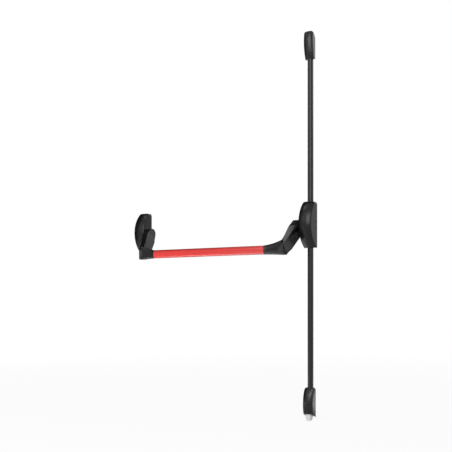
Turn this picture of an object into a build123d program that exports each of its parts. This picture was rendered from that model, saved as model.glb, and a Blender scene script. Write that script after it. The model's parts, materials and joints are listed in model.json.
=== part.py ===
from build123d import *
import math
import os

# Panic bar for a single door leaf, in millimetres.
# The door's face is the plane Y = 0 and the device stands on its -Y side, with +Z up.
# The drive unit is at X = 0, the hinge-side support unit at X = -unit_spacing.
# A depth is a distance from the door's face, so it lies at Y = -depth.

# Whole device
unit_spacing = 1005.0
plate_thickness = 3.0
cover_wall = 2.5
cut_overrun = 2.0
running_gap = 0.05
free_gap = 0.4

# Housing shells of the drive and support units
housing_width = 67.0
housing_height = 221.0
housing_depth = 76.0
housing_top_depth = 28.0
housing_foot_depth = 20.0
housing_crown = 7.0
housing_edge_round = 8.0
housing_top_corner = 14.0
housing_corner_lap = 0.05

# Base plates of the two units
unit_plate_side_gap = 4.5
unit_plate_end_gap = 8.5
unit_plate_corner = 6.0
unit_notch_width = 19.0
unit_notch_lap = 2.0
unit_hole_radius = 3.2
unit_hole_side_margin = 6.0
unit_hole_end_margin = 14.0

# Pivot shaft and its ears
shaft_height = -3.0
shaft_radius = 7.0
ear_thickness = 4.0
ear_offset = 26.0
ear_end_radius = 14.0
ear_root_width = 52.0
ear_root_depth = 16.0
bush_wall = 2.0
bush_flange_radius = 11.5
bush_flange_thickness = 1.0

# Gearing: a sector on the shaft lifts the lower slide, a pinion drops the upper one
gear_module = 1.5
pressure_angle = 20.0
tooth_addendum_share = 0.8
tooth_dedendum_share = 1.05
tooth_backlash = 0.3
sector_full_teeth = 35
sector_teeth_below = 4
sector_teeth_above = 1
front_rack_teeth_below = 6
front_rack_teeth_above = 3
side_rack_teeth_below = 5
tooth_curve_steps = 4
sector_width = 8.0
sector_centre_offset = 18.0
sector_hub_radius = 12.0
sector_hub_width = 13.0
pinion_teeth = 14
pinion_width = 7.0
pinion_height = 30.0
pinion_pin_radius = 3.0
pinion_clip_radius = 5.5
pinion_clip_thickness = 1.0
rack_pitch_depth = 13.5

# Slides
slide_back_depth = 4.0
slide_outer_offset = 23.5
slide_head_height = 16.0
slide_head_lap = 2.5
lower_slide_top = 56.0
lower_slide_bottom = -44.0
upper_slide_bottom = 4.0
upper_slide_top = 62.0
guide_flange_thickness = 1.5
guide_flange_depth = 12.0
guide_flange_low = 44.0
guide_flange_high = 76.0

# Rods and the covers over them
rod_radius = 4.5
rod_seat_depth = 12.0
lock_nut_across = 14.0
lock_nut_height = 6.0
rod_cover_width = 27.0
rod_cover_depth = 18.0
rod_cover_round = 10.0
rod_cover_wall = 1.5
rod_cover_lap = 7.0
rod_guide_length = 30.0
rod_guide_foot = 3.0
rod_guide_saddle_width = 12.4
rod_guide_hole_radius = 1.6
rod_guide_hole_offset = 8.4

# Push bar and the arms that carry it
bar_depth = 140.0
bar_height = -121.5
bar_tall = 43.0
bar_thick = 21.0
bar_wall = 1.6
arm_end_offset = 67.0
drive_arm_mouth_offset = 178.0
support_arm_mouth_offset = 162.0
arm_spigot_length = 34.0
arm_spigot_gap = 0.3
arm_side_gap = 2.5
arm_root_thickness = 34.0
arm_elbow_thickness = 25.0
arm_plan_margin = 60.0
arm_head_radius = 27.0
arm_heel_radius = 10.0
arm_heel_depth = 33.0
arm_heel_height = -45.0
arm_corner_round = 9.0
arm_elbow_front_depth = 110.0
arm_elbow_front_height = -62.0
arm_shoulder_radius = 14.0
arm_shoulder_depth = 76.0
arm_shoulder_height = -15.0
arm_elbow_back_depth = 87.0
arm_elbow_back_height = -112.0
arm_foot_back_depth = 122.0
arm_foot_drop = 4.0
arm_flush_lip = 0.5
arm_root_plan_share = 0.1
arm_elbow_plan_share = 0.92
flare_start_share = 0.5
flare_place_shares = [0.0, 0.25, 0.55, 1.0]
flare_setbacks = [8.0, 5.0, 2.5, 0.0]
flare_extra_thick = [17.0, 11.0, 5.0, 1.0]
flare_extra_tall = [30.0, 19.5, 10.0, 1.0]
flare_lifts = [10.0, 6.25, 3.0, 0.0]
flare_roundness_shares = [0.4, 0.55, 0.8, 1.0]
flare_outline_points = 32
arm_screw_radius = 3.0
arm_screw_length = 6.0
hub_boss_radius = 19.0
hub_screw_radius = 3.0
hub_screw_length = 12.0
hub_end_wall = 6.0

# Return spring on each shaft
spring_wire_radius = 1.25
spring_shaft_gap = 0.35
spring_turns = 5
spring_length = 18.0
spring_hub_gap = 2.0

# Side screws of the two covers
side_screw_height = 14.0
side_screw_depth = 7.0
side_screw_radius = 2.0
side_screw_head_radius = 4.5
side_screw_head = 1.8

# Top latch
top_latch_width = 47.0
top_latch_foot = 795.0
top_latch_height = 133.0
top_latch_slope_drop = 32.0
top_latch_foot_depth = 19.0
top_latch_belly_depth = 39.0
top_latch_peak_depth = 32.0
top_latch_crown_cut = 4.0
top_latch_corner = 10.0
top_bolt_width = 16.0
top_bolt_depth = 15.0
top_bolt_length = 67.0
top_bolt_bevel = 8.0

# Bottom latch
bottom_latch_width = 52.0
bottom_latch_top = -780.0
bottom_latch_height = 125.0
bottom_latch_slope_drop = 17.0
bottom_latch_top_depth = 19.0
bottom_latch_belly_depth = 46.0
bottom_latch_foot_depth = 39.0
bottom_latch_corner = 14.0
bottom_bolt_width = 24.0
bottom_bolt_depth = 28.0
bottom_bolt_length = 100.0
bottom_bolt_taper = 4.0
bottom_bolt_taper_height = 14.0

# What both latches share
latch_wall = 2.0
latch_belly_share = 0.61
latch_bolt_setback = 58.0
latch_edge_round = 5.0
slope_share = 0.2
latch_cheek_thickness = 3.0
latch_cheek_length = 40.0
latch_cheek_inset = 5.0
latch_cheek_depth = 22.0
latch_plate_inset = 1.0
latch_plate_corner = 9.0
latch_hole_radius = 2.6
latch_hole_spacing_across = 26.0
latch_hole_spacing_up = 22.0
latch_hole_margin = 17.0
latch_screw_height = 60.0
latch_screw_depth = 8.0
latch_lug_thickness = 3.0

# Places that follow from the sizes above
unit_plate_width = housing_width - 2 * unit_plate_side_gap
unit_plate_height = housing_height - 2 * unit_plate_end_gap
unit_hole_spacing_across = unit_plate_width - 2 * unit_hole_side_margin
unit_hole_spacing_up = unit_plate_height - 2 * unit_hole_end_margin
top_latch_peak = top_latch_foot + top_latch_height
top_latch_door_top = top_latch_peak - top_latch_slope_drop
top_latch_belly_height = top_latch_foot + top_latch_height * latch_belly_share
top_bolt_foot = top_latch_foot + latch_bolt_setback
top_bolt_head = top_bolt_foot + top_bolt_length
bottom_latch_foot = bottom_latch_top - bottom_latch_height
bottom_latch_door_foot = bottom_latch_foot - bottom_latch_slope_drop
bottom_latch_belly_height = bottom_latch_top - bottom_latch_height * latch_belly_share
bottom_bolt_top = bottom_latch_top - latch_bolt_setback
bottom_bolt_tip = bottom_bolt_top - bottom_bolt_length
sector_radius = gear_module * sector_full_teeth / 2
pinion_radius = gear_module * pinion_teeth / 2
shaft_depth = rack_pitch_depth + sector_radius
slide_thickness = rack_pitch_depth - gear_module - slide_back_depth
rod_axis_depth = slide_back_depth + slide_thickness / 2
slide_inner_offset = pinion_radius + gear_module * tooth_dedendum_share
flange_inner = slide_outer_offset + free_gap
tooth_pitch = math.pi * gear_module
housing_face = housing_width / 2
arm_face = housing_face + arm_side_gap
support_mid_plane = Plane.YZ.offset(-unit_spacing / 2)


def side_plane(offset):
    """A plane across X at the given offset: its x is Y and its y is Z."""
    return Plane.YZ.offset(offset)


def front_plane(depth):
    """A plane parallel to the door at a depth: its x is X, its y is Z, and it faces away from the door."""
    return Plane.XZ.offset(depth)


def block(x_low, x_high, depth_low, depth_high, z_low, z_high):
    """A box between two offsets, two depths and two heights."""
    size = (x_high - x_low, depth_high - depth_low, z_high - z_low)
    centre = ((x_low + x_high) / 2, -(depth_low + depth_high) / 2, (z_low + z_high) / 2)
    return Pos(*centre) * Box(*size)


def rod_along_x(radius, x_low, x_high, depth, height):
    """A cylinder on an axis across the door."""
    disc = side_plane(x_low) * Pos(-depth, height) * Circle(radius)
    return extrude(disc, amount=x_high - x_low)


def rod_along_y(radius, x, depth_low, depth_high, height):
    """A cylinder that stands out of the door."""
    disc = front_plane(depth_low) * Pos(x, height) * Circle(radius)
    return extrude(disc, amount=depth_high - depth_low)


def rod_along_z(radius, x, depth, z_low, z_high):
    """An upright cylinder."""
    disc = Plane.XY.offset(z_low) * Pos(x, -depth) * Circle(radius)
    return extrude(disc, amount=z_high - z_low)


def to_support(piece):
    """The support unit is the drive unit's mirror image, at the bar's other end."""
    copies = [mirror(solid, about=support_mid_plane) for solid in piece.solids()]
    return copies[0] if len(copies) == 1 else Compound(children=copies)


# Gear teeth

def flank_angle(radius, pitch_radius, teeth):
    """Half the angle that a tooth takes at a radius: an involute of the base circle."""
    pressure = math.radians(pressure_angle)
    base_radius = pitch_radius * math.cos(pressure)
    local = math.acos(min(1.0, base_radius / radius))
    half_thickness = (tooth_pitch - tooth_backlash) / 4
    opening = math.tan(pressure) - pressure - (math.tan(local) - local)
    return half_thickness / pitch_radius + opening


def gear_tooth(pitch_radius, teeth, angle):
    """One tooth's face, pointing along the given angle, with a root that sinks into its disc."""
    tip = pitch_radius + gear_module * tooth_addendum_share
    root = pitch_radius - gear_module * (tooth_dedendum_share + tooth_addendum_share)
    start = max(pitch_radius * math.cos(math.radians(pressure_angle)), root)

    def at(radius, side):
        turn = math.radians(angle) + side * flank_angle(max(radius, start), pitch_radius, teeth)
        return (radius * math.cos(turn), radius * math.sin(turn))

    radii = [start + (tip - start) * i / tooth_curve_steps for i in range(tooth_curve_steps + 1)]
    rising = Spline([at(r, -1) for r in radii])
    falling = Spline([at(r, 1) for r in reversed(radii)])
    edges = [Line(at(root, -1), at(start, -1)), rising, Line(at(tip, -1), at(tip, 1)), falling]
    edges += [Line(at(start, 1), at(root, 1)), Line(at(root, 1), at(root, -1))]
    return make_face(edges)


def rack_tooth():
    """One rack tooth's face: it points along +x from the pitch line at x = 0, with its middle at y = 0."""
    slope = math.tan(math.radians(pressure_angle))
    half = (tooth_pitch - tooth_backlash) / 4
    tip = gear_module * tooth_addendum_share
    root = -gear_module * (tooth_dedendum_share + tooth_addendum_share)
    points = [(root, -(half - root * slope)), (tip, -(half - tip * slope))]
    points += [(tip, half - tip * slope), (root, half - root * slope)]
    return make_face(Polyline(points, close=True))


# Drive unit: plate, shell and pivot

def unit_plate():
    """The plate behind a unit: four door holes and two ears that carry the shaft."""
    outline = front_plane(0) * RectangleRounded(unit_plate_width, unit_plate_height, unit_plate_corner)
    plate = extrude(outline, amount=plate_thickness)
    for side in (-1, 1):
        plate += shaft_ear(side * ear_offset)
        x_low, x_high = sorted((side * flange_inner, side * (flange_inner + guide_flange_thickness)))
        for z_low, z_high in ((guide_flange_low, guide_flange_high), (-guide_flange_high, -guide_flange_low)):
            plate += block(x_low, x_high, 0, guide_flange_depth, z_low, z_high)
        end = side * (unit_plate_height / 2 + cut_overrun)
        z_low, z_high = sorted((end, side * (-lower_slide_bottom - unit_notch_lap)))
        half = unit_notch_width / 2
        plate -= block(-half, half, -cut_overrun, plate_thickness + cut_overrun, z_low, z_high)
    for x in (-unit_hole_spacing_across / 2, unit_hole_spacing_across / 2):
        for z in (-unit_hole_spacing_up / 2, unit_hole_spacing_up / 2):
            plate -= rod_along_y(unit_hole_radius, x, -cut_overrun, plate_thickness + cut_overrun, z)
    bush_radius = shaft_radius + running_gap + bush_wall
    plate -= rod_along_x(bush_radius, -unit_plate_width, unit_plate_width, shaft_depth, shaft_height)
    for z in (-side_screw_height, side_screw_height):
        plate -= rod_along_x(side_screw_radius, ear_offset - ear_thickness, housing_face, side_screw_depth, z)
    return plate


def shaft_ear(offset):
    """An upright ear with a round end about the shaft and a wide root on the plate."""
    half_root = ear_root_width / 2
    root_low = shaft_height - half_root
    root_high = shaft_height + half_root
    stem = Polyline(
        (0, root_low),
        (-ear_root_depth, root_low),
        (-shaft_depth, shaft_height - ear_end_radius),
        (-shaft_depth, shaft_height + ear_end_radius),
        (-ear_root_depth, root_high),
        (0, root_high),
        close=True,
    )
    face = make_face(stem) + Pos(-shaft_depth, shaft_height) * Circle(ear_end_radius)
    return extrude(side_plane(offset - ear_thickness / 2) * face, amount=ear_thickness)


def housing_form(inset):
    """A unit's shell as a solid block, or with an inset the hollow in it, which runs out at the door.

    It is a wheel about the centre of the front's arc, cut to the housing's outline. The outline is a
    hair wider than the wheel, so that the wheel's flat sides are the housing's.
    """
    top = housing_height / 2
    belly = ThreePointArc((-housing_top_depth, top), (-housing_depth, 0), (-housing_foot_depth, -top))
    centre = (0, belly.arc_center.X, belly.arc_center.Y)
    plane = Plane(origin=centre, x_dir=(1, 0, 0), z_dir=(0, 0, 1))
    wheel = revolve(plane * wheel_section(belly.radius, inset), axis=Axis(centre, (1, 0, 0)))
    width = housing_width - 2 * (inset - housing_corner_lap)
    outline = front_prism(width, -top - housing_top_corner, top - inset, housing_top_corner - inset)
    outline = outline & block(-housing_width, housing_width, -inset, bar_depth, inset - top, housing_height)
    return outline & wheel


def wheel_section(rim, inset):
    """Half of a wheel's section, from its axle to its tread, which is crowned and has rounded edges."""
    half = housing_face - inset
    bend = (housing_face**2 + housing_crown**2) / (2 * housing_crown)
    edge = rim - bend + math.sqrt((bend - inset) ** 2 - half**2)
    tread = ThreePointArc((-half, edge), (0, rim - inset), (half, edge))
    spoke = Line((half, edge), (half, 0))
    axle = Line((half, 0), (-half, 0))
    far_spoke = Line((-half, 0), (-half, edge))
    section = make_face([tread, spoke, axle, far_spoke])
    return fillet(section.vertices().filter_by(lambda v: v.Y > cut_overrun), housing_edge_round - inset)


def front_prism(width, z_low, z_high, corner):
    """A block with rounded corners, as seen from the front, deep enough to hold a whole shell."""
    outline = Pos(0, (z_low + z_high) / 2) * RectangleRounded(width, z_high - z_low, corner)
    return extrude(front_plane(-cut_overrun) * outline, amount=bar_depth)


def front_rim(shape):
    """The edges round a latch cover's arched front, but for one that bounds a sloping face."""
    arched = shape.faces().filter_by(GeomType.CYLINDER).sort_by(SortBy.AREA)[-1]
    sloping = [f for f in shape.faces().filter_by(GeomType.PLANE) if is_sloping(f)]
    kept_sharp = [e.center() for f in sloping for e in f.edges()]
    return [e for e in arched.edges() if all((e.center() - c).length > free_gap for c in kept_sharp)]


def is_sloping(face):
    """Whether a flat face leans both up or down and towards the door or away from it."""
    normal = face.normal_at()
    return abs(normal.Y) > slope_share and abs(normal.Z) > slope_share


def rod_cover_section(grow=0.0):
    """The rod cover's outline: flat on the door, with a rounded front."""
    width = rod_cover_width + 2 * grow
    depth = rod_cover_depth + grow
    outline = Pos(0, -depth / 2) * Rectangle(width, depth)
    fronts = outline.vertices().filter_by(lambda v: v.Y < -depth / 2)
    return fillet(fronts, rod_cover_round + grow)


def rod_cover_passage(z_low, z_high):
    """What a shell loses so that a rod cover's end can slip into it."""
    section = rod_cover_section(free_gap)
    return extrude(Plane.XY.offset(z_low) * section, amount=z_high - z_low)


def unit_cover(with_rods):
    """A unit's shell, with a hole for the shaft and, on the drive unit, ways in for both rod covers."""
    cover = housing_form(0) - housing_form(cover_wall)
    inside = housing_face - cover_wall - cut_overrun
    cover -= rod_along_x(shaft_radius + free_gap, -housing_face - cut_overrun, -inside, shaft_depth, shaft_height)
    for z in (-side_screw_height, side_screw_height):
        hole = side_screw_radius + free_gap
        cover -= rod_along_x(hole, inside, housing_face + cut_overrun, side_screw_depth, z)
    if with_rods:
        top = housing_height / 2
        inner = top - cover_wall - cut_overrun
        cover -= rod_cover_passage(inner, top + cut_overrun)
        cover -= rod_cover_passage(-top - cut_overrun, -inner)
    return cover


def unit_shaft():
    """The pivot shaft, from the far ear out to the arm."""
    inner_end = ear_offset + ear_thickness / 2 + bush_flange_thickness
    outer_end = arm_face + arm_root_thickness - hub_end_wall
    return rod_along_x(shaft_radius, -outer_end, inner_end, shaft_depth, shaft_height)


def unit_bushes():
    """A flanged bush in each ear."""
    bushes = []
    bore = shaft_radius + running_gap
    for side in (-1, 1):
        mid = side * ear_offset
        low = mid - ear_thickness / 2
        high = mid + ear_thickness / 2
        flange_low = high if side < 0 else low - bush_flange_thickness
        bush = rod_along_x(bore + bush_wall, low, high, shaft_depth, shaft_height)
        bush += rod_along_x(
            bush_flange_radius, flange_low, flange_low + bush_flange_thickness, shaft_depth, shaft_height
        )
        bush -= rod_along_x(bore, low - cut_overrun, high + cut_overrun, shaft_depth, shaft_height)
        bushes.append(bush)
    return Compound(children=bushes)


def side_screws():
    """Two pan-head screws through the shell's outer side into the ear."""
    screws = []
    for z in (-side_screw_height, side_screw_height):
        tip = ear_offset - ear_thickness / 2
        shank = rod_along_x(side_screw_radius, tip, housing_face, side_screw_depth, z)
        head_end = housing_face + side_screw_head
        head = rod_along_x(side_screw_head_radius, housing_face, head_end, side_screw_depth, z)
        rim = head.edges().sort_by(Axis.X)[-1]
        screws.append(shank + fillet(rim, side_screw_head / 2))
    return Compound(children=screws)


# Drive unit: gearing

def gear_sector():
    """The toothed quadrant on the shaft, whose teeth face the door."""
    low = -sector_centre_offset - sector_width / 2
    plane = side_plane(low) * Pos(-shaft_depth, shaft_height)
    root = sector_radius - gear_module * tooth_dedendum_share
    step = 360 / sector_full_teeth
    first = -(sector_teeth_below + 1) * step
    last = (sector_teeth_above + 1) * step

    def corner(angle):
        return (root * math.cos(math.radians(angle)), root * math.sin(math.radians(angle)))

    rim = ThreePointArc(corner(first), corner((first + last) / 2), corner(last))
    web = make_face([rim, Line(corner(last), (0, 0)), Line((0, 0), corner(first))])
    face = web + Circle(sector_hub_radius)
    for i in range(-sector_teeth_below, sector_teeth_above + 1):
        face += gear_tooth(sector_radius, sector_full_teeth, i * step)
    sector = extrude(plane * face, amount=sector_width)
    hub_high = low + sector_hub_width
    sector += rod_along_x(sector_hub_radius, low, hub_high, shaft_depth, shaft_height)
    sector -= rod_along_x(shaft_radius, low - cut_overrun, hub_high + cut_overrun, shaft_depth, shaft_height)
    return sector


def reversing_pinion():
    """The pinion between the two slides. Its teeth point at both racks at rest."""
    depth = slide_back_depth + (slide_thickness - pinion_width) / 2
    face = Circle(pinion_radius - gear_module * tooth_dedendum_share)
    for i in range(pinion_teeth):
        face += gear_tooth(pinion_radius, pinion_teeth, i * 360 / pinion_teeth)
    face -= Circle(pinion_pin_radius + running_gap)
    return extrude(front_plane(depth) * Pos(0, pinion_height) * face, amount=pinion_width)


def pinion_pin():
    """The stud that the pinion turns on, with its retaining clip."""
    end = slide_back_depth + slide_thickness
    pin = rod_along_y(pinion_pin_radius, 0, plate_thickness, end + pinion_clip_thickness, pinion_height)
    collar_end = slide_back_depth + (slide_thickness - pinion_width) / 2 - running_gap
    pin += rod_along_y(pinion_clip_radius, 0, plate_thickness, collar_end, pinion_height)
    pin += rod_along_y(pinion_clip_radius, 0, end - free_gap, end + pinion_clip_thickness, pinion_height)
    return pin


def slide_head(side, z_low, z_high):
    """The foot or head that brings a slide back to the rod's line, with the rod's seat."""
    reach = rod_radius + slide_head_lap
    x_low, x_high = sorted((-side * reach, side * slide_outer_offset))
    back = slide_back_depth
    return block(x_low, x_high, back, back + slide_thickness, z_low, z_high)


def side_rack(side, z_low, z_high):
    """Rack teeth along a slide's inner edge, with a space level with the pinion's axis at rest."""
    teeth = Sketch()
    first = math.ceil((z_low - pinion_height) / tooth_pitch)
    last = math.floor((z_high - pinion_height) / tooth_pitch)
    for i in range(first, last):
        tooth = rack_tooth()
        tooth = tooth if side < 0 else mirror(tooth, about=Plane.YZ)
        teeth += Pos(side * pinion_radius, pinion_height + i * tooth_pitch + tooth_pitch / 2) * tooth
    return extrude(front_plane(slide_back_depth) * teeth, amount=slide_thickness)


def front_rack():
    """Rack teeth on the lower slide's front, with a space level with the shaft's axis at rest."""
    teeth = Sketch()
    tooth = mirror(rack_tooth(), about=Plane.YZ)
    for i in range(-front_rack_teeth_below, front_rack_teeth_above):
        teeth += Pos(-rack_pitch_depth, shaft_height + i * tooth_pitch + tooth_pitch / 2) * tooth
    return extrude(side_plane(-sector_centre_offset - sector_width / 2) * teeth, amount=sector_width)


def rod_seat(z_low, z_high):
    """The bore that takes a rod's end."""
    return rod_along_z(rod_radius + running_gap, 0, rod_axis_depth, z_low, z_high)


def lower_slide():
    """The slide that the sector lifts: a front rack for the sector and a side rack for the pinion."""
    back = slide_back_depth
    front = back + slide_thickness
    head_low = lower_slide_bottom - slide_head_height
    slide = block(-slide_outer_offset, -slide_inner_offset, back, front, lower_slide_bottom, lower_slide_top)
    slide += slide_head(-1, head_low, lower_slide_bottom)
    slide += side_rack(-1, pinion_height - side_rack_teeth_below * tooth_pitch, lower_slide_top)
    slide += front_rack()
    return slide - rod_seat(head_low - cut_overrun, head_low + rod_seat_depth)


def upper_slide():
    """The slide on the pinion's other side, which drops as the lower one rises."""
    back = slide_back_depth
    front = back + slide_thickness
    head_high = upper_slide_top + slide_head_height
    slide = block(slide_inner_offset, slide_outer_offset, back, front, upper_slide_bottom, upper_slide_top)
    slide += slide_head(1, upper_slide_top, head_high)
    slide += side_rack(1, upper_slide_bottom, upper_slide_top)
    return slide - rod_seat(head_high - rod_seat_depth, head_high + cut_overrun)


# Rods

def lock_nut(z_low):
    """A hexagon nut on a rod."""
    outline = RegularPolygon(lock_nut_across / 2, 6, major_radius=False) - Circle(rod_radius + running_gap)
    return extrude(Plane.XY.offset(z_low) * Pos(0, -rod_axis_depth) * outline, amount=lock_nut_height)


def rod_cover(z_low, z_high):
    """A C-section trunking with a rounded front, open to the door."""
    section = rod_cover_section() - rod_cover_section(-rod_cover_wall)
    return extrude(Plane.XY.offset(z_low) * section, amount=z_high - z_low)


def rod_guide(z_mid):
    """A plastic saddle on the door that guides the rod and that the rod cover snaps over."""
    z_low = z_mid - rod_guide_length / 2
    foot = Pos(0, -rod_guide_foot / 2) * Rectangle(rod_cover_width, rod_guide_foot)
    saddle = Pos(0, -rod_cover_depth / 2) * Rectangle(rod_guide_saddle_width, rod_cover_depth)
    section = rod_cover_section(-rod_cover_wall - free_gap) & (foot + saddle)
    guide = extrude(Plane.XY.offset(z_low) * section, amount=rod_guide_length)
    guide -= rod_seat(z_low - cut_overrun, z_low + rod_guide_length + cut_overrun)
    for x in (-rod_guide_hole_offset, rod_guide_hole_offset):
        guide -= rod_along_y(rod_guide_hole_radius, x, -cut_overrun, rod_cover_depth, z_mid)
    return guide


# Latches

def latch_shape(width, outline, z_low, z_high, corner):
    """A latch cover's outside: an arched side profile with rounded corners and front edges."""
    shape = extrude(side_plane(0) * outline, amount=width / 2, both=True)
    shape = shape & front_prism(width, z_low, z_high, corner)
    return fillet(front_rim(shape), latch_edge_round)


def latch_shell(shape):
    """A latch cover's wall: the shape hollowed, open at its back and at its sloping end."""
    back = shape.faces().sort_by(Axis.Y)[-1]
    slope = [f for f in shape.faces().filter_by(GeomType.PLANE) if is_sloping(f)]
    return offset(shape, amount=-latch_wall, openings=[back] + slope)


def top_latch_cover():
    """The top cover. Its top slopes down to the door, where the keep on the door frame hangs."""
    belly = ThreePointArc(
        (-top_latch_foot_depth, top_latch_foot),
        (-top_latch_belly_depth, top_latch_belly_height),
        (-top_latch_peak_depth, top_latch_peak),
    )
    outline = make_face(
        [
            belly,
            Line((-top_latch_peak_depth, top_latch_peak), (0, top_latch_door_top)),
            Line((0, top_latch_door_top), (0, top_latch_foot)),
            Line((0, top_latch_foot), (-top_latch_foot_depth, top_latch_foot)),
        ]
    )
    low = top_latch_foot - top_latch_corner
    high = top_latch_peak - top_latch_crown_cut
    shape = latch_shape(top_latch_width, outline, low, high, top_latch_corner)
    cover = latch_shell(shape)
    cover -= rod_cover_passage(top_latch_foot - cut_overrun, top_latch_foot + latch_wall + cut_overrun)
    cover -= latch_screw_hole(top_latch_width, top_latch_foot + latch_screw_height)
    return cover


def bottom_latch_cover():
    """The bottom cover. Its sides run lower beside the door than its front does."""
    belly = ThreePointArc(
        (-bottom_latch_top_depth, bottom_latch_top),
        (-bottom_latch_belly_depth, bottom_latch_belly_height),
        (-bottom_latch_foot_depth, bottom_latch_foot),
    )
    outline = make_face(
        [
            belly,
            Line((-bottom_latch_foot_depth, bottom_latch_foot), (0, bottom_latch_door_foot)),
            Line((0, bottom_latch_door_foot), (0, bottom_latch_top)),
            Line((0, bottom_latch_top), (-bottom_latch_top_depth, bottom_latch_top)),
        ]
    )
    low = bottom_latch_door_foot - bottom_latch_corner
    shape = latch_shape(bottom_latch_width, outline, low, bottom_latch_top, bottom_latch_corner)
    cover = latch_shell(shape)
    cover -= rod_cover_passage(bottom_latch_top - latch_wall - cut_overrun, bottom_latch_top + cut_overrun)
    cover -= latch_screw_hole(bottom_latch_width, bottom_latch_top - latch_screw_height)
    return cover


def latch_screw_hole(width, height):
    """The hole in a latch cover's hidden side for the screw that holds it."""
    inner = width / 2 - latch_wall - cut_overrun
    return rod_along_x(side_screw_radius + free_gap, -width / 2 - cut_overrun, -inner, latch_screw_depth, height)


def latch_screw(width, height):
    """The screw that holds a latch cover to its base's lug."""
    face = -width / 2
    tip = face + latch_wall + latch_plate_inset + latch_lug_thickness
    shank = rod_along_x(side_screw_radius, face, tip, latch_screw_depth, height)
    head = rod_along_x(side_screw_head_radius, face - side_screw_head, face, latch_screw_depth, height)
    rim = head.edges().sort_by(Axis.X)[0]
    return shank + fillet(rim, side_screw_head / 2)


def latch_base(width, z_low, z_high, bolt_width, cheek_low, hole_height, screw_height):
    """A latch's plate, with cheeks that guide its bolt and a lug for the cover's screw."""
    half = width / 2 - latch_wall - latch_plate_inset
    outline = Pos(0, (z_low + z_high) / 2) * RectangleRounded(2 * half, z_high - z_low, latch_plate_corner)
    base = extrude(front_plane(0) * outline, amount=plate_thickness)
    cheek_high = cheek_low + latch_cheek_length
    for side in (-1, 1):
        inner = side * (bolt_width / 2 + free_gap)
        outer = inner + side * latch_cheek_thickness
        x_low, x_high = sorted((inner, outer))
        base += block(x_low, x_high, 0, latch_cheek_depth, cheek_low, cheek_high)
    lug_half = side_screw_head_radius
    lug_low = screw_height - lug_half
    lug_high = screw_height + lug_half
    lug_end = -half + latch_lug_thickness
    base += block(-half, lug_end, 0, latch_screw_depth + lug_half, lug_low, lug_high)
    base -= rod_along_x(side_screw_radius, -width, lug_end + cut_overrun, latch_screw_depth, screw_height)
    for x in (-latch_hole_spacing_across / 2, latch_hole_spacing_across / 2):
        for z in (hole_height - latch_hole_spacing_up / 2, hole_height + latch_hole_spacing_up / 2):
            base -= rod_along_y(latch_hole_radius, x, -cut_overrun, plate_thickness + cut_overrun, z)
    return base


def bolt_back():
    """The depth at which both bolts start, clear of their plates."""
    return plate_thickness + free_gap


def top_bolt():
    """The top bolt: a bar with a bevel towards the door frame, and the rod's seat in its foot."""
    back = bolt_back()
    half = top_bolt_width / 2
    bolt = block(-half, half, back, back + top_bolt_depth, top_bolt_foot, top_bolt_head)
    edge = bolt.edges().filter_by(Axis.X).sort_by(Axis.Z)[-2:].sort_by(Axis.Y)[-1]
    bolt = chamfer(edge, top_bolt_bevel)
    return bolt - rod_seat(top_bolt_foot - cut_overrun, top_bolt_foot + rod_seat_depth)


def bottom_bolt():
    """The bottom bolt: a broad pale bar with a tapered tip that drops into the floor keep."""
    back = bolt_back()
    half = bottom_bolt_width / 2
    tip_half = half - bottom_bolt_taper
    shoulder = bottom_bolt_tip + bottom_bolt_taper_height
    outline = Polyline(
        (-half, bottom_bolt_top),
        (half, bottom_bolt_top),
        (half, shoulder),
        (tip_half, bottom_bolt_tip),
        (-tip_half, bottom_bolt_tip),
        (-half, shoulder),
        close=True,
    )
    bolt = extrude(front_plane(back) * make_face(outline), amount=bottom_bolt_depth)
    return bolt - rod_seat(bottom_bolt_top - rod_seat_depth, bottom_bolt_top + cut_overrun)


# Bar and arms

def arm_direction():
    """The unit vector from the shaft to the bar, across the arm's side view."""
    run = -(bar_depth - shaft_depth)
    drop = bar_height - shaft_height
    length = math.hypot(run, drop)
    return run / length, drop / length, length


def arm_side_profile():
    """The arm seen along the door: a broad lever from the shaft to the elbow, and the foot below the elbow."""
    foot = bar_height - bar_tall / 2 - arm_foot_drop
    front = bar_depth + bar_thick / 2 + arm_flush_lip
    corner = arm_corner_round

    def rounded(depth, height, radius):
        return (Pos(-depth, height) * Circle(radius)).edges()

    head = rounded(shaft_depth, shaft_height, arm_head_radius)
    shoulder = rounded(arm_shoulder_depth, arm_shoulder_height, arm_shoulder_radius)
    heel = rounded(arm_heel_depth, arm_heel_height, arm_heel_radius)
    elbow = rounded(arm_elbow_front_depth, arm_elbow_front_height, corner)
    elbow += rounded(arm_elbow_back_depth, arm_elbow_back_height, corner)
    toes = rounded(front - corner, foot + corner, corner)
    toes += rounded(front - corner, bar_height + bar_tall / 2, corner)
    toes += rounded(arm_foot_back_depth, foot + corner, corner)
    return make_hull(head + shoulder + heel + elbow) + make_hull(elbow + toes)


def arm_plan():
    """The arm seen square to its length: beside the housing at its head, and set inwards at the elbow."""
    length = arm_direction()[2]
    start = -arm_plan_margin
    end = length + arm_plan_margin
    root_inner = -arm_face - arm_root_thickness
    elbow_inner = -arm_end_offset - arm_elbow_thickness
    points = [
        (-arm_face, start),
        (root_inner, start),
        (root_inner, length * arm_root_plan_share),
        (elbow_inner, length * arm_elbow_plan_share),
        (elbow_inner, end),
        (-arm_end_offset, end),
        (-arm_end_offset, length * arm_elbow_plan_share),
        (-arm_face, length * arm_root_plan_share),
    ]
    return make_face(Polyline(points, close=True))


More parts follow.
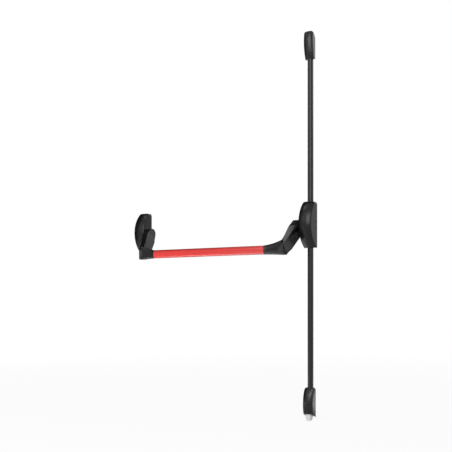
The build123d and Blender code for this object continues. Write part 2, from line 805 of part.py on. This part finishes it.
def bar_arm(mouth_offset):
    """An arm: a lever, an elbow that flares into the bar's line, and a spigot for the bar."""
    run, drop, length = arm_direction()
    side = extrude(side_plane(-2 * mouth_offset) * arm_side_profile(), amount=2 * mouth_offset)
    pivot = Vector(0, -shaft_depth, shaft_height)
    plan_plane = Plane(origin=pivot, x_dir=(1, 0, 0), z_dir=Vector(1, 0, 0).cross(Vector(0, run, drop)))
    plan = extrude(plan_plane * arm_plan(), amount=length, both=True)
    lever = side & plan
    arm = lever + arm_flare(mouth_offset)
    boss_end = -arm_face + arm_side_gap / 2
    arm += rod_along_x(hub_boss_radius, -arm_face - arm_side_gap, boss_end, shaft_depth, shaft_height)
    bore_low = -arm_face - arm_root_thickness + hub_end_wall
    arm -= rod_along_x(shaft_radius, bore_low, -housing_face, shaft_depth, shaft_height)
    arm -= hub_screw_space(-cut_overrun, shaft_depth)
    arm += arm_spigot(mouth_offset)
    arm -= arm_screw_space(mouth_offset, 0.0)
    return arm


def arm_flare(mouth_offset):
    """The elbow's flare: ovals along the bar's line that shrink to the bar's own section."""
    start = -arm_end_offset - arm_elbow_thickness * flare_start_share
    run = -mouth_offset - start
    sections = []
    for i, share in enumerate(flare_place_shares):
        plane = side_plane(start + run * share) * Pos(flare_setbacks[i] - bar_depth, bar_height + flare_lifts[i])
        thick = bar_thick + flare_extra_thick[i]
        tall = bar_tall + flare_extra_tall[i]
        sections.append(plane * soft_oval(thick / 2, tall / 2, flare_roundness_shares[i]))
    return loft(sections)


def soft_oval(half_width, half_height, roundness):
    """An oval for a roundness of one. A smaller roundness fills its corners towards a rectangle's."""
    points = []
    for i in range(flare_outline_points):
        angle = 2 * math.pi * i / flare_outline_points
        across = math.copysign(abs(math.cos(angle)) ** roundness, math.cos(angle))
        up = math.copysign(abs(math.sin(angle)) ** roundness, math.sin(angle))
        points.append((half_width * across, half_height * up))
    return make_face(Spline(points, periodic=True))


def arm_spigot(mouth_offset):
    """The oval plug on the arm's end that fills the bar tube's bore."""
    inset = 2 * (bar_wall + arm_spigot_gap)
    section = Ellipse((bar_thick - inset) / 2, (bar_tall - inset) / 2)
    plane = side_plane(-mouth_offset - arm_spigot_length) * Pos(-bar_depth, bar_height)
    return extrude(plane * section, amount=arm_spigot_length + cut_overrun)


def arm_screw_space(mouth_offset, gap):
    """The room of the grub screw that pins the bar to the spigot, on the side that faces the door."""
    x = -mouth_offset - arm_spigot_length / 2
    back = bar_depth - bar_thick / 2
    return rod_along_y(arm_screw_radius + gap, x, back - cut_overrun, back + arm_screw_length, bar_height)


def bar_screw(mouth_offset):
    """The grub screw, its end level with the bar's back."""
    x = -mouth_offset - arm_spigot_length / 2
    back = bar_depth - bar_thick / 2
    end = back + arm_screw_length - running_gap
    return rod_along_y(arm_screw_radius - running_gap, x, back + running_gap, end, bar_height)


def push_bar():
    """The oval tube between the two arms."""
    low = -unit_spacing + support_arm_mouth_offset + running_gap
    high = -drive_arm_mouth_offset - running_gap
    outer = Ellipse(bar_thick / 2, bar_tall / 2)
    inner = Ellipse(bar_thick / 2 - bar_wall, bar_tall / 2 - bar_wall)
    bar = extrude(side_plane(low) * Pos(-bar_depth, bar_height) * (outer - inner), amount=high - low)
    bar -= arm_screw_space(drive_arm_mouth_offset, running_gap)
    bar -= to_support(arm_screw_space(support_arm_mouth_offset, running_gap))
    return bar


def hub_screw_space(depth_low, depth_high):
    """The tapped hole in the arm's head, square to the shaft, between two depths."""
    x = -arm_face - arm_root_thickness / 2
    return rod_along_y(hub_screw_radius, x, depth_low, depth_high, shaft_height)


def drive_hub_screw():
    """The grub screw that clamps the arm's head to its shaft."""
    tip = shaft_depth - shaft_radius
    return hub_screw_space(tip - hub_screw_length, tip)


def return_spring():
    """A torsion spring's coil about the shaft, with its wire in one piece."""
    low = -sector_centre_offset - sector_width / 2 + sector_hub_width + spring_hub_gap
    coil_radius = shaft_radius + spring_shaft_gap + spring_wire_radius
    path = Helix(spring_length / spring_turns, spring_length, coil_radius)
    section = Plane(origin=path @ 0, z_dir=path % 0) * Circle(spring_wire_radius)
    coil = sweep(section, path=path, is_frenet=True)
    return Pos(low, -shaft_depth, shaft_height) * (Rot(0, 90, 0) * coil)


def build():
    """Every piece, under the name of its node."""
    pieces = {}
    pieces["drive_base_plate"] = unit_plate()
    pieces["drive_cover"] = unit_cover(True)
    pieces["drive_shaft"] = unit_shaft()
    pieces["drive_shaft_bushes"] = unit_bushes()
    pieces["drive_cover_screws"] = side_screws()
    pieces["gear_sector"] = gear_sector()
    pieces["reversing_pinion"] = reversing_pinion()
    pieces["pinion_pin"] = pinion_pin()
    pieces["lower_slide"] = lower_slide()
    pieces["upper_slide"] = upper_slide()
    pieces["drive_return_spring"] = return_spring()
    pieces["drive_arm"] = bar_arm(drive_arm_mouth_offset)
    pieces["drive_hub_screw"] = drive_hub_screw()
    pieces["support_base_plate"] = to_support(unit_plate())
    pieces["support_cover"] = to_support(unit_cover(False))
    pieces["support_shaft"] = to_support(unit_shaft())
    pieces["support_shaft_bushes"] = to_support(unit_bushes())
    pieces["support_cover_screws"] = to_support(side_screws())
    pieces["support_return_spring"] = to_support(return_spring())
    pieces["support_arm"] = to_support(bar_arm(support_arm_mouth_offset))
    pieces["support_hub_screw"] = to_support(drive_hub_screw())
    pieces["push_bar"] = push_bar()
    bar_screws = [bar_screw(drive_arm_mouth_offset), to_support(bar_screw(support_arm_mouth_offset))]
    pieces["bar_screws"] = Compound(children=bar_screws)

    upper_rod_foot = upper_slide_top + slide_head_height - rod_seat_depth
    upper_rod_head = top_bolt_foot + rod_seat_depth
    pieces["upper_rod"] = rod_along_z(rod_radius, 0, rod_axis_depth, upper_rod_foot, upper_rod_head)
    pieces["upper_lock_nut"] = lock_nut(upper_slide_top + slide_head_height)
    lower_rod_head = lower_slide_bottom - slide_head_height + rod_seat_depth
    lower_rod_foot = bottom_bolt_top - rod_seat_depth
    pieces["lower_rod"] = rod_along_z(rod_radius, 0, rod_axis_depth, lower_rod_foot, lower_rod_head)
    pieces["lower_lock_nut"] = lock_nut(lower_slide_bottom - slide_head_height - lock_nut_height)
    top = housing_height / 2
    pieces["upper_rod_cover"] = rod_cover(top - rod_cover_lap, top_latch_foot + rod_cover_lap)
    pieces["lower_rod_cover"] = rod_cover(bottom_latch_top - rod_cover_lap, -top + rod_cover_lap)
    pieces["upper_rod_guide"] = rod_guide((top + top_latch_foot) / 2)
    pieces["lower_rod_guide"] = rod_guide((bottom_latch_top - top) / 2)

    top_holes = top_latch_foot + latch_hole_margin + latch_hole_spacing_up / 2
    bottom_holes = bottom_latch_top - latch_hole_margin - latch_hole_spacing_up / 2
    top_screw = top_latch_foot + latch_screw_height
    bottom_screw = bottom_latch_top - latch_screw_height
    inner = latch_wall + latch_plate_inset
    pieces["top_latch_base"] = latch_base(
        top_latch_width,
        top_latch_foot + rod_cover_lap + free_gap,
        top_latch_door_top - inner,
        top_bolt_width,
        top_latch_door_top - inner - latch_cheek_inset - latch_cheek_length,
        top_holes,
        top_screw,
    )
    pieces["top_latch_cover"] = top_latch_cover()
    pieces["top_bolt"] = top_bolt()
    pieces["bottom_latch_base"] = latch_base(
        bottom_latch_width,
        bottom_latch_door_foot + inner,
        bottom_latch_top - rod_cover_lap - free_gap,
        bottom_bolt_width,
        bottom_latch_door_foot + inner + latch_cheek_inset,
        bottom_holes,
        bottom_screw,
    )
    pieces["bottom_latch_cover"] = bottom_latch_cover()
    pieces["bottom_bolt"] = bottom_bolt()
    screws = [latch_screw(top_latch_width, top_screw), latch_screw(bottom_latch_width, bottom_screw)]
    pieces["latch_cover_screws"] = Compound(children=screws)
    return pieces


os.makedirs("parts", exist_ok=True)
for name, piece in build().items():
    export_step(piece, f"parts/{name}.step")
    print(name, round(piece.volume, 1), [round(v, 1) for v in piece.bounding_box().size])
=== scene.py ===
"""A panic bar for one door leaf: an oval red bar between two cranked black arms, with rods and bolts.

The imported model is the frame. This script dresses it: finishes, rounded edges on the arms, and crowned
fronts on the latch covers and the trunking. Everything is in metres, in the frame's own axes: X runs
towards the lock edge, Y into the door and Z up.
"""
import json
import math

import bmesh
import bpy
import numpy as np
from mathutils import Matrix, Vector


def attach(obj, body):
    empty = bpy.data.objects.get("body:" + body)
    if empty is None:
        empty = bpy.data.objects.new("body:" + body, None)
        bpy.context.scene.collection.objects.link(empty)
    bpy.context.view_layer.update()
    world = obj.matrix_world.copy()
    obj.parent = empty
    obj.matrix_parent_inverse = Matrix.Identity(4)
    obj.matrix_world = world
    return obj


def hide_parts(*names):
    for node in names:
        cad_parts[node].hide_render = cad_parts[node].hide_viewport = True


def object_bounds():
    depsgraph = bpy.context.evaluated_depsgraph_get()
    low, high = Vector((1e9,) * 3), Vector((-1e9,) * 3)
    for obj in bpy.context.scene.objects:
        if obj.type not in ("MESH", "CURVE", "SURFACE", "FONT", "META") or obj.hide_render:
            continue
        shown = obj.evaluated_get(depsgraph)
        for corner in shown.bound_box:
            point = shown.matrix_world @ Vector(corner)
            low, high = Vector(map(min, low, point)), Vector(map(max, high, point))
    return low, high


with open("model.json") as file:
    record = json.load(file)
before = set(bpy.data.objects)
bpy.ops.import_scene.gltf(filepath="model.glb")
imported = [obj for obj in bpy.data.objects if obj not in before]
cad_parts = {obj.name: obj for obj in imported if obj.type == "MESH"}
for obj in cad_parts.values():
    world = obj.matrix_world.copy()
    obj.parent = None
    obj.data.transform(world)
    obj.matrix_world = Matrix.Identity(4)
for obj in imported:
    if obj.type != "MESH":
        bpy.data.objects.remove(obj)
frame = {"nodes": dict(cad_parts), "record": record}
cad_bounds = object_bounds()
nodes = frame["nodes"]

MM = 0.001

# The photograph's frame, and the camera's place in front of the door
PHOTO_SIDE = 452
FOCAL_PIXELS = 800
HORIZON_ROW = 300
SENSOR_WIDTH = 36.0
CAMERA_PLACE = (1.7537, -3.4505, -0.3608)
CAMERA_TURN = math.radians(33.0)
CAMERA_REACH = 100.0

# The rounding of the cast arms' edges, the least turn that counts as an edge, and the most in a flat face
ARM_EDGE_RADIUS = 3.5 * MM
ARM_EDGE_STEPS = 3
EDGE_ANGLE = math.radians(28.0)
FLAT_ANGLE = math.radians(1.0)

# The crowning of the moulded covers: the share of their depth that is lost at the sides, half the width of
# the trunking's flat middle, the strips that bend, and the least turn that stays a crease
LATCH_CROWN_SHARE = 0.2
TRUNKING_CROWN_SHARE = 0.22
TRUNKING_FLAT_HALF = 6.6 * MM
CROWN_STRIPS = 14
CREASE_ANGLE = math.radians(32.0)

# Points of a mesh that are nearer than this are one point
MERGE_GAP = 0.01 * MM

# The depth of the bump patterns, and how many layers of noise make a plain or a rich one
FINE_RELIEF = 0.1 * MM
PLAIN_RELIEF = 0.2 * MM
CAST_RELIEF = 0.3 * MM
PLAIN_DETAIL = 2.0
RICH_DETAIL = 4.0

# The gloss of a plain surface, and the colours that more than one finish uses, or that the studio has
PLAIN_GLOSS = 0.5
DEEP_BLACK = (0.005, 0.005, 0.0054)
MATT_BLACK = (0.03, 0.03, 0.03)
FLOOR_PAINT = (0.9, 0.9, 0.9)
SCREEN_CLOTH = (0.01, 0.01, 0.01)

# The colour mixer's sockets: it has several of one name, so they go by number
MIXER_FIRST = 6
MIXER_SECOND = 7
MIXER_RESULT = 2

# The floor: how far it reaches, and how much of it glows white near the object and further out
FLOOR_HALF = 30.0
GLOW_NEAR = 0.93
GLOW_FAR = 1.0
GLOW_NEAR_REACH = 1.0
GLOW_FAR_REACH = 5.0

# The light from all round, and the white that shows behind the object
WORLD_LIGHT = 0.2
WORLD_WHITE = 1.0
WHITE = (1.0, 1.0, 1.0, 1.0)

# The soft lamps: name, place, the point that it faces, width, height and watts. The last three lie face up,
# just above the floor.
TABLE_LEVEL = -0.93
LAMPS = [
    ("key", (0.3, -3.6, 1.5), (-0.1, 0.0, 0.0), 1.9, 2.4, 100.0),
    ("upper_strip", (-1.9, -2.95, 1.5), (0.0, 0.0, 0.4), 0.4, 1.8, 7.0),
    ("lower_strip", (-1.9, -2.95, -0.65), (0.0, 0.0, -0.5), 0.4, 0.5, 2.0),
    ("rim", (1.6, 3.0, 2.0), (0.0, 0.0, 0.5), 1.4, 1.5, 16.0),
    ("fill", (3.6, -1.6, 0.9), (0.0, 0.0, 0.0), 1.2, 2.4, 15.0),
    ("top", (-1.4, -0.7, 2.2), (-0.07, -0.1, 0.0), 0.6, 0.6, 3.5),
    ("table", (-0.9, -0.75, TABLE_LEVEL), (-0.9, -0.75, 0.0), 2.2, 0.4, 6.0),
    ("bar_line", (-1.12, -0.82, TABLE_LEVEL), (-1.12, -0.82, 0.0), 0.4, 0.95, 11.0),
    ("low_rim", (0.35, 0.65, TABLE_LEVEL), (0.35, 0.65, 0.0), 0.8, 0.5, 4.0),
]

# The black screens: an upright one to the left, and a level one overhead and behind
LEFT_FLAG_X = -3.2
LEFT_FLAG_NEAR, LEFT_FLAG_FAR = -2.3, 2.6
LEFT_FLAG_TOP = 4.0
HIGH_FLAG_Z = 2.9
HIGH_FLAG_LEFT, HIGH_FLAG_RIGHT = -4.5, 1.0
HIGH_FLAG_NEAR, HIGH_FLAG_FAR = -0.2, 3.5


# Finishes

def new_finish(name, colour, roughness, metallic=0.0, gloss=PLAIN_GLOSS):
    """A material with its shader, and the object's own coordinates for its pattern."""
    finish = bpy.data.materials.new(name)
    finish.use_nodes = True
    tree = finish.node_tree
    shader = tree.nodes["Principled BSDF"]
    shader.inputs["Base Color"].default_value = (*colour, 1.0)
    shader.inputs["Roughness"].default_value = roughness
    shader.inputs["Metallic"].default_value = metallic
    shader.inputs["Specular IOR Level"].default_value = gloss
    place = tree.nodes.new("ShaderNodeTexCoord")
    return finish, tree, shader, place.outputs["Object"]


def noise(tree, place, scale, detail=RICH_DETAIL, stretch=(1.0, 1.0, 1.0)):
    """A noise pattern of so many waves per metre, drawn out along an axis by a small stretch value."""
    mapping = tree.nodes.new("ShaderNodeMapping")
    mapping.inputs["Scale"].default_value = stretch
    pattern = tree.nodes.new("ShaderNodeTexNoise")
    pattern.inputs["Scale"].default_value = scale
    pattern.inputs["Detail"].default_value = detail
    tree.links.new(place, mapping.inputs["Vector"])
    tree.links.new(mapping.outputs["Vector"], pattern.inputs["Vector"])
    return pattern.outputs["Fac"]


def spread(tree, value, low, high, from_low=0.3, from_high=0.7):
    """A value's range, for a pattern its middle part, mapped onto another range."""
    node = tree.nodes.new("ShaderNodeMapRange")
    node.inputs["From Min"].default_value = from_low
    node.inputs["From Max"].default_value = from_high
    node.inputs["To Min"].default_value = low
    node.inputs["To Max"].default_value = high
    tree.links.new(value, node.inputs["Value"])
    return node.outputs["Result"]


def mixed(tree, factor, first, second):
    """A colour between two, by a factor. Each is three numbers, or what another mixer gives."""
    node = tree.nodes.new("ShaderNodeMix")
    node.data_type = "RGBA"
    for number, colour in ((MIXER_FIRST, first), (MIXER_SECOND, second)):
        if isinstance(colour, tuple):
            node.inputs[number].default_value = (*colour, 1.0)
        else:
            tree.links.new(colour, node.inputs[number])
    tree.links.new(factor, node.inputs["Factor"])
    return node.outputs[MIXER_RESULT]


def vary_colour(tree, shader, factor, first, second):
    """The surface's colour goes from the first to the second with a factor."""
    tree.links.new(mixed(tree, factor, first, second), shader.inputs["Base Color"])


def vary_roughness(tree, shader, pattern, low, high):
    """The surface's roughness goes from low to high with a pattern."""
    tree.links.new(spread(tree, pattern, low, high), shader.inputs["Roughness"])


def raise_surface(tree, shader, pattern, strength, relief=PLAIN_RELIEF):
    """Bump from a pattern."""
    bump = tree.nodes.new("ShaderNodeBump")
    bump.inputs["Strength"].default_value = strength
    bump.inputs["Distance"].default_value = relief
    tree.links.new(pattern, bump.inputs["Height"])
    tree.links.new(bump.outputs["Normal"], shader.inputs["Normal"])


def worn_edges(tree, start=0.52, full=0.62):
    """A mask that is one on sharp outer edges, from the surface's own bend."""
    geometry = tree.nodes.new("ShaderNodeNewGeometry")
    return spread(tree, geometry.outputs["Pointiness"], 0.0, 1.0, start, full)


def painted_edge_shade(tree, start=0.22, full=0.55):
    """A mask for painted shade: nothing where the surface faces the eye, and one where it turns away from
    it.
    """
    facing = tree.nodes.new("ShaderNodeLayerWeight")
    return spread(tree, facing.outputs["Facing"], 0.0, 1.0, start, full)


def black_plastic(name, gloss, grain):
    """Satin black plastic: a fine spark-eroded grain, and soft patches where hands have polished it."""
    finish, tree, shader, place = new_finish(name, (0.006, 0.006, 0.0065), roughness=0.3, gloss=gloss)
    patches = noise(tree, place, scale=18.0)
    vary_colour(tree, shader, patches, DEEP_BLACK, (0.008, 0.008, 0.0086))
    vary_roughness(tree, shader, patches, low=0.25, high=0.33)
    raise_surface(tree, shader, noise(tree, place, scale=1400.0, detail=PLAIN_DETAIL), strength=grain)
    return finish


def black_coat():
    """Glossy black coat over a casting: a low orange-peel, and edges rubbed a little paler."""
    finish, tree, shader, place = new_finish("black_coat", DEEP_BLACK, roughness=0.21, gloss=0.24)
    patches = noise(tree, place, scale=25.0)
    vary_colour(tree, shader, worn_edges(tree), DEEP_BLACK, (0.03, 0.03, 0.031))
    vary_roughness(tree, shader, patches, low=0.18, high=0.25)
    raise_surface(tree, shader, noise(tree, place, scale=500.0, detail=PLAIN_DETAIL), strength=0.06)
    return finish


def red_coat():
    """Glossy red coat on the tube: a low orange-peel, a faint change of tone, and a deeper red painted as
    shade at the edges, where the tube turns away from the eye.
    """
    finish, tree, shader, place = new_finish("red_coat", (0.55, 0.028, 0.024), roughness=0.18, gloss=0.38)
    tone = noise(tree, place, scale=9.0, detail=PLAIN_DETAIL)
    red = mixed(tree, tone, (0.53, 0.027, 0.023), (0.57, 0.03, 0.025))
    # Painted shade: the red darkens to a deep red where the tube turns away from the eye, at its edges
    vary_colour(tree, shader, painted_edge_shade(tree), red, (0.28, 0.008, 0.008))
    vary_roughness(tree, shader, tone, low=0.15, high=0.21)
    raise_surface(tree, shader, noise(tree, place, scale=420.0, detail=PLAIN_DETAIL), strength=0.015)
    return finish


def zinc_sheet():
    """Zinc-plated sheet steel: a pale cloudy grey with fine rolling lines."""
    finish, tree, shader, place = new_finish("zinc_sheet", (0.6, 0.6, 0.58), roughness=0.38, metallic=1.0)
    clouds = noise(tree, place, scale=40.0)
    lines = noise(tree, place, scale=900.0, detail=PLAIN_DETAIL, stretch=(1.0, 1.0, 0.03))
    vary_colour(tree, shader, clouds, (0.5, 0.5, 0.49), (0.68, 0.67, 0.64))
    vary_roughness(tree, shader, clouds, low=0.3, high=0.46)
    raise_surface(tree, shader, lines, strength=0.1)
    return finish


def bright_steel():
    """Drawn steel bar, bright, with lines along its length."""
    finish, tree, shader, place = new_finish(
        "bright_steel", (0.62, 0.62, 0.63), roughness=0.28, metallic=1.0)
    lines = noise(tree, place, scale=1200.0, detail=PLAIN_DETAIL, stretch=(1.0, 1.0, 0.02))
    vary_roughness(tree, shader, lines, low=0.22, high=0.36)
    raise_surface(tree, shader, lines, strength=0.08, relief=FINE_RELIEF)
    return finish


def grey_casting():
    """The bottom bolt's pale grey metal, satin, with a fine cast grain and rubbed edges."""
    finish, tree, shader, place = new_finish(
        "grey_casting", (0.62, 0.62, 0.61), roughness=0.45, metallic=0.2)
    grain = noise(tree, place, scale=350.0)
    vary_colour(tree, shader, worn_edges(tree), (0.6, 0.6, 0.59), (0.74, 0.74, 0.73))
    vary_roughness(tree, shader, grain, low=0.38, high=0.52)
    raise_surface(tree, shader, grain, strength=0.15, relief=CAST_RELIEF)
    return finish


def turned_brass():
    """Turned brass, slightly dulled."""
    finish, tree, shader, place = new_finish("turned_brass", (0.68, 0.5, 0.22), roughness=0.3, metallic=1.0)
    tarnish = noise(tree, place, scale=120.0)
    vary_colour(tree, shader, tarnish, (0.6, 0.42, 0.18), (0.74, 0.56, 0.27))
    vary_roughness(tree, shader, tarnish, low=0.24, high=0.42)
    return finish


def black_screw_steel():
    """Blackened screw steel, with bright wear on its edges."""
    finish, tree, shader, place = new_finish("black_screw_steel", MATT_BLACK, roughness=0.4, metallic=0.8)
    vary_colour(tree, shader, worn_edges(tree), MATT_BLACK, (0.2, 0.2, 0.2))
    vary_roughness(tree, shader, noise(tree, place, scale=300.0), low=0.32, high=0.5)
    return finish


def dull_plastic():
    """The hidden rod guides' dull black plastic."""
    finish, tree, shader, place = new_finish("dull_plastic", MATT_BLACK, roughness=0.6)
    grain = noise(tree, place, scale=600.0)
    vary_roughness(tree, shader, grain, low=0.52, high=0.68)
    raise_surface(tree, shader, grain, strength=0.2)
    return finish


# Each slot of the record has a finish, and the shells over the latches and rods have a glossier one
FINISHES = {
    "black_moulding": black_plastic("black_moulding", gloss=0.22, grain=0.12),
    "black_arm": black_coat(),
    "red_tube": red_coat(),
    "zinc_plate": zinc_sheet(),
    "bright_steel": bright_steel(),
    "grey_bolt": grey_casting(),
    "bush_brass": turned_brass(),
    "black_screw": black_screw_steel(),
    "guide_plastic": dull_plastic(),
}
SHELL_FINISHES = {
    "latch_cover": black_plastic("latch_moulding", gloss=0.27, grain=0.04),
    "rod_cover": black_plastic("trunking", gloss=0.32, grain=0.02),
}

record = frame["record"]
SLOT_OF = {part["node"]: part["material_slot"] for part in record["subparts"]}
BODY_OF = {node: body for body, members in record["behaviour"]["bodies"].items() for node in members}


def dress(node):
    """Gives a CAD node its finish."""
    materials = nodes[node].data.materials
    finish = FINISHES[SLOT_OF[node]]
    for ending, shell_finish in SHELL_FINISHES.items():
        if node.endswith(ending):
            finish = shell_finish
    if len(materials) == 0:
        materials.append(finish)
    for i in range(len(materials)):
        materials[i] = finish


for node_name in nodes:
    dress(node_name)


# Copies with rounded edges or a crowned front

def copied(node, ending):
    """A copy of a CAD node, merged into one surface, whose faces look outwards."""
    source = nodes[node]
    piece = source.copy()
    piece.data = source.data.copy()
    piece.parent = None
    piece.name = node + ending
    bpy.context.scene.collection.objects.link(piece)
    bpy.ops.object.select_all(action="DESELECT")
    bpy.context.view_layer.objects.active = piece
    piece.select_set(True)
    bpy.ops.object.mode_set(mode="EDIT")
    bpy.ops.mesh.select_all(action="SELECT")
    bpy.ops.mesh.remove_doubles(threshold=MERGE_GAP)
    bpy.ops.mesh.normals_make_consistent(inside=False)
    bpy.ops.object.mode_set(mode="OBJECT")
    piece.select_set(False)
    return piece


def smooth(piece):
    """Shades every face smoothly."""
    piece.data.polygons.foreach_set("use_smooth", [True] * len(piece.data.polygons))


def stand_in(piece, node):
    """Puts a copy in its node's place, on the node's body."""
    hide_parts(node)
    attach(piece, BODY_OF[node])


def softened(node):
    """A copy of a cast arm, whose sharp edges are rounded."""
    piece = copied(node, "_softened")
    dissolve = piece.modifiers.new("flats", "DECIMATE")
    dissolve.decimate_type = "DISSOLVE"
    dissolve.angle_limit = FLAT_ANGLE
    rounding = piece.modifiers.new("rounding", "BEVEL")
    rounding.width = ARM_EDGE_RADIUS
    rounding.segments = ARM_EDGE_STEPS
    rounding.limit_method = "ANGLE"
    rounding.angle_limit = EDGE_ANGLE
    smooth(piece)
    shading = piece.modifiers.new("even shading", "WEIGHTED_NORMAL")
    shading.keep_sharp = True
    stand_in(piece, node)


def crowned(node, share, flat=0.0):
    """A copy of a moulded cover, whose front is crowned across its width.

    A point at the door or in the flat middle keeps its place. Any other's depth shrinks by the share
    times ((|x| - flat) / (half - flat))^2. The copy is first cut into strips, so that it can bend.
    """
    piece = copied(node, "_crowned")
    half = nodes[node].dimensions.x / 2
    form = bmesh.new()
    form.from_mesh(piece.data)
    for x in np.linspace(-half, half, CROWN_STRIPS + 1)[1:-1]:
        everything = form.verts[:] + form.edges[:] + form.faces[:]
        bmesh.ops.bisect_plane(form, geom=everything, plane_co=(x, 0.0, 0.0), plane_no=(1.0, 0.0, 0.0))
    form.to_mesh(piece.data)
    form.free()
    points = np.empty(3 * len(piece.data.vertices))
    piece.data.vertices.foreach_get("co", points)
    points = points.reshape(-1, 3)
    bend = np.clip((np.abs(points[:, 0]) - flat) / (half - flat), 0.0, 1.0)
    points[:, 1] *= 1.0 - share * bend ** 2
    piece.data.vertices.foreach_set("co", points.ravel())
    piece.data.update()
    smooth(piece)
    creases = piece.modifiers.new("creases", "EDGE_SPLIT")
    creases.split_angle = CREASE_ANGLE
    stand_in(piece, node)


for arm in ("drive_arm", "support_arm"):
    softened(arm)
for cover in ("top_latch_cover", "bottom_latch_cover"):
    crowned(cover, LATCH_CROWN_SHARE)
for trunking in ("upper_rod_cover", "lower_rod_cover"):
    crowned(trunking, TRUNKING_CROWN_SHARE, TRUNKING_FLAT_HALF)


# Floor, background and light

def sheet(name, corners, finish):
    """A flat sheet of the studio, which isn't part of the object."""
    mesh = bpy.data.meshes.new(name)
    mesh.from_pydata(corners, [], [(0, 1, 2, 3)])
    mesh.materials.append(finish)
    flat = bpy.data.objects.new(name, mesh)
    bpy.context.scene.collection.objects.link(flat)
    return flat


def background_rays(tree):
    """One for a ray from the camera, off a glossy surface or through a clear one."""
    path = tree.nodes.new("ShaderNodeLightPath")
    total = path.outputs["Is Camera Ray"]
    for kind in ("Is Glossy Ray", "Is Transmission Ray"):
        highest = tree.nodes.new("ShaderNodeMath")
        highest.operation = "MAXIMUM"
        tree.links.new(total, highest.inputs[0])
        tree.links.new(path.outputs[kind], highest.inputs[1])
        total = highest.outputs[0]
    return total


def blend_to_white(tree, share, plain, white, output):
    """Gives the output a mix of a plain shader and a white one, in which the white one has the share."""
    mix = tree.nodes.new("ShaderNodeMixShader")
    tree.links.new(share, mix.inputs["Fac"])
    tree.links.new(plain, mix.inputs[1])
    tree.links.new(white, mix.inputs[2])
    tree.links.new(mix.outputs["Shader"], tree.nodes[output].inputs["Surface"])


def pale_floor(level):
    """A wide pale floor that catches the object's shadow and meets the background without a line."""
    paint, tree, shader, place = new_finish("floor_paint", FLOOR_PAINT, roughness=0.9)
    glow = tree.nodes.new("ShaderNodeEmission")
    glow.inputs["Color"].default_value = WHITE
    reach = tree.nodes.new("ShaderNodeVectorMath")
    reach.operation = "LENGTH"
    tree.links.new(place, reach.inputs[0])
    glowing = spread(tree, reach.outputs["Value"], GLOW_NEAR, GLOW_FAR, GLOW_NEAR_REACH, GLOW_FAR_REACH)
    share = tree.nodes.new("ShaderNodeMath")
    share.operation = "MULTIPLY"
    tree.links.new(background_rays(tree), share.inputs[0])
    tree.links.new(glowing, share.inputs[1])
    plain, white = shader.outputs["BSDF"], glow.outputs["Emission"]
    blend_to_white(tree, share.outputs[0], plain, white, "Material Output")
    half = FLOOR_HALF
    corners = [(-half, -half, level), (half, -half, level), (half, half, level), (-half, half, level)]
    sheet("floor", corners, paint)


def white_background():
    """A world that shows white behind the object and lights it softly from all round."""
    world = bpy.data.worlds.new("studio")
    bpy.context.scene.world = world
    world.use_nodes = True
    tree = world.node_tree
    plain = tree.nodes["Background"]
    white = tree.nodes.new("ShaderNodeBackground")
    for backdrop, strength in ((plain, WORLD_LIGHT), (white, WORLD_WHITE)):
        backdrop.inputs["Color"].default_value = WHITE
        backdrop.inputs["Strength"].default_value = strength
    dim, bright = plain.outputs["Background"], white.outputs["Background"]
    blend_to_white(tree, background_rays(tree), dim, bright, "World Output")


def soft_box(name, place, target, width, height, power):
    """A rectangular studio lamp that faces a point and that the camera doesn't see."""
    lamp = bpy.data.lights.new(name, "AREA")
    lamp.shape = "RECTANGLE"
    lamp.size = width
    lamp.size_y = height
    lamp.energy = power
    holder = bpy.data.objects.new(name, lamp)
    holder.location = place
    away = np.array(target) - np.array(place)
    flat = math.hypot(away[0], away[1])
    holder.rotation_euler = (math.atan2(flat, -away[2]), 0.0, math.atan2(away[1], away[0]) - math.pi / 2)
    holder.visible_camera = False
    bpy.context.scene.collection.objects.link(holder)


def dark_flag(name, corners):
    """A flat black screen, out of the picture, that the object's edges reflect. It casts no shadow."""
    cloth = new_finish(name, SCREEN_CLOTH, roughness=1.0, gloss=0.0)[0]
    flag = sheet(name, corners, cloth)
    flag.visible_camera = False
    flag.visible_shadow = False


def dark_flags(level):
    """The screens that give the object's left edges and tops their dark."""
    x, near, far, top = LEFT_FLAG_X, LEFT_FLAG_NEAR, LEFT_FLAG_FAR, LEFT_FLAG_TOP
    dark_flag("left_flag", [(x, near, level), (x, far, level), (x, far, top), (x, near, top)])
    z, near, far = HIGH_FLAG_Z, HIGH_FLAG_NEAR, HIGH_FLAG_FAR
    left, right = HIGH_FLAG_LEFT, HIGH_FLAG_RIGHT
    dark_flag("high_flag", [(left, near, z), (right, near, z), (right, far, z), (left, far, z)])


def photo_camera():
    """The camera that took the photograph: level, turned to the left, its frame raised above the horizon."""
    lens = bpy.data.cameras.new("photo_camera")
    lens.sensor_width = SENSOR_WIDTH
    lens.lens = FOCAL_PIXELS / PHOTO_SIDE * SENSOR_WIDTH
    lens.shift_y = (HORIZON_ROW - PHOTO_SIDE / 2) / PHOTO_SIDE
    lens.clip_end = CAMERA_REACH
    camera = bpy.data.objects.new("photo_camera", lens)
    camera.location = CAMERA_PLACE
    camera.rotation_euler = (math.pi / 2, 0.0, CAMERA_TURN)
    bpy.context.scene.collection.objects.link(camera)
    bpy.context.scene.camera = camera


floor_level = cad_bounds[0][2]
pale_floor(floor_level)
white_background()
for lamp_row in LAMPS:
    soft_box(*lamp_row)
dark_flags(floor_level)
photo_camera()
bpy.context.scene.view_settings.view_transform = "Standard"
